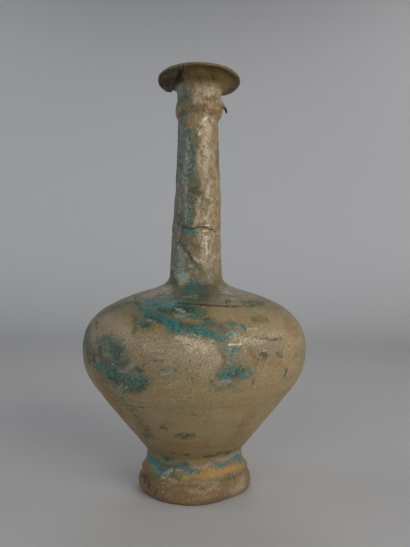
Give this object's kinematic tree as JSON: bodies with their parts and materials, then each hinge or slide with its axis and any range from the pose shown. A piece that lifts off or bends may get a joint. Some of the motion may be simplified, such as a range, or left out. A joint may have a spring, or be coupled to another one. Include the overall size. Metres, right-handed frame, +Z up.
{
  "type": "long-necked bottle vase",
  "caption": "Long-necked glazed bottle vase: ring foot, broad round-shouldered belly, tall tapering neck with a moulded ring, flat turned-out lip, sandy weathered turquoise glaze.",
  "frame": {"origin": "centre of the ring that the foot rests on, at the height of its underside", "axes": "+Z up along the belly's axis, -Y towards the side shown in the picture, +X to that side's right"},
  "size_m": [0.1506, 0.1506, 0.2803],
  "materials": {
    "glazed_clay": "turquoise glaze under a worn, matt to satin sandy buff crust"
  },
  "bodies": {
    "root": {"vase": "glazed_clay"}
  },
  "joints": []
}
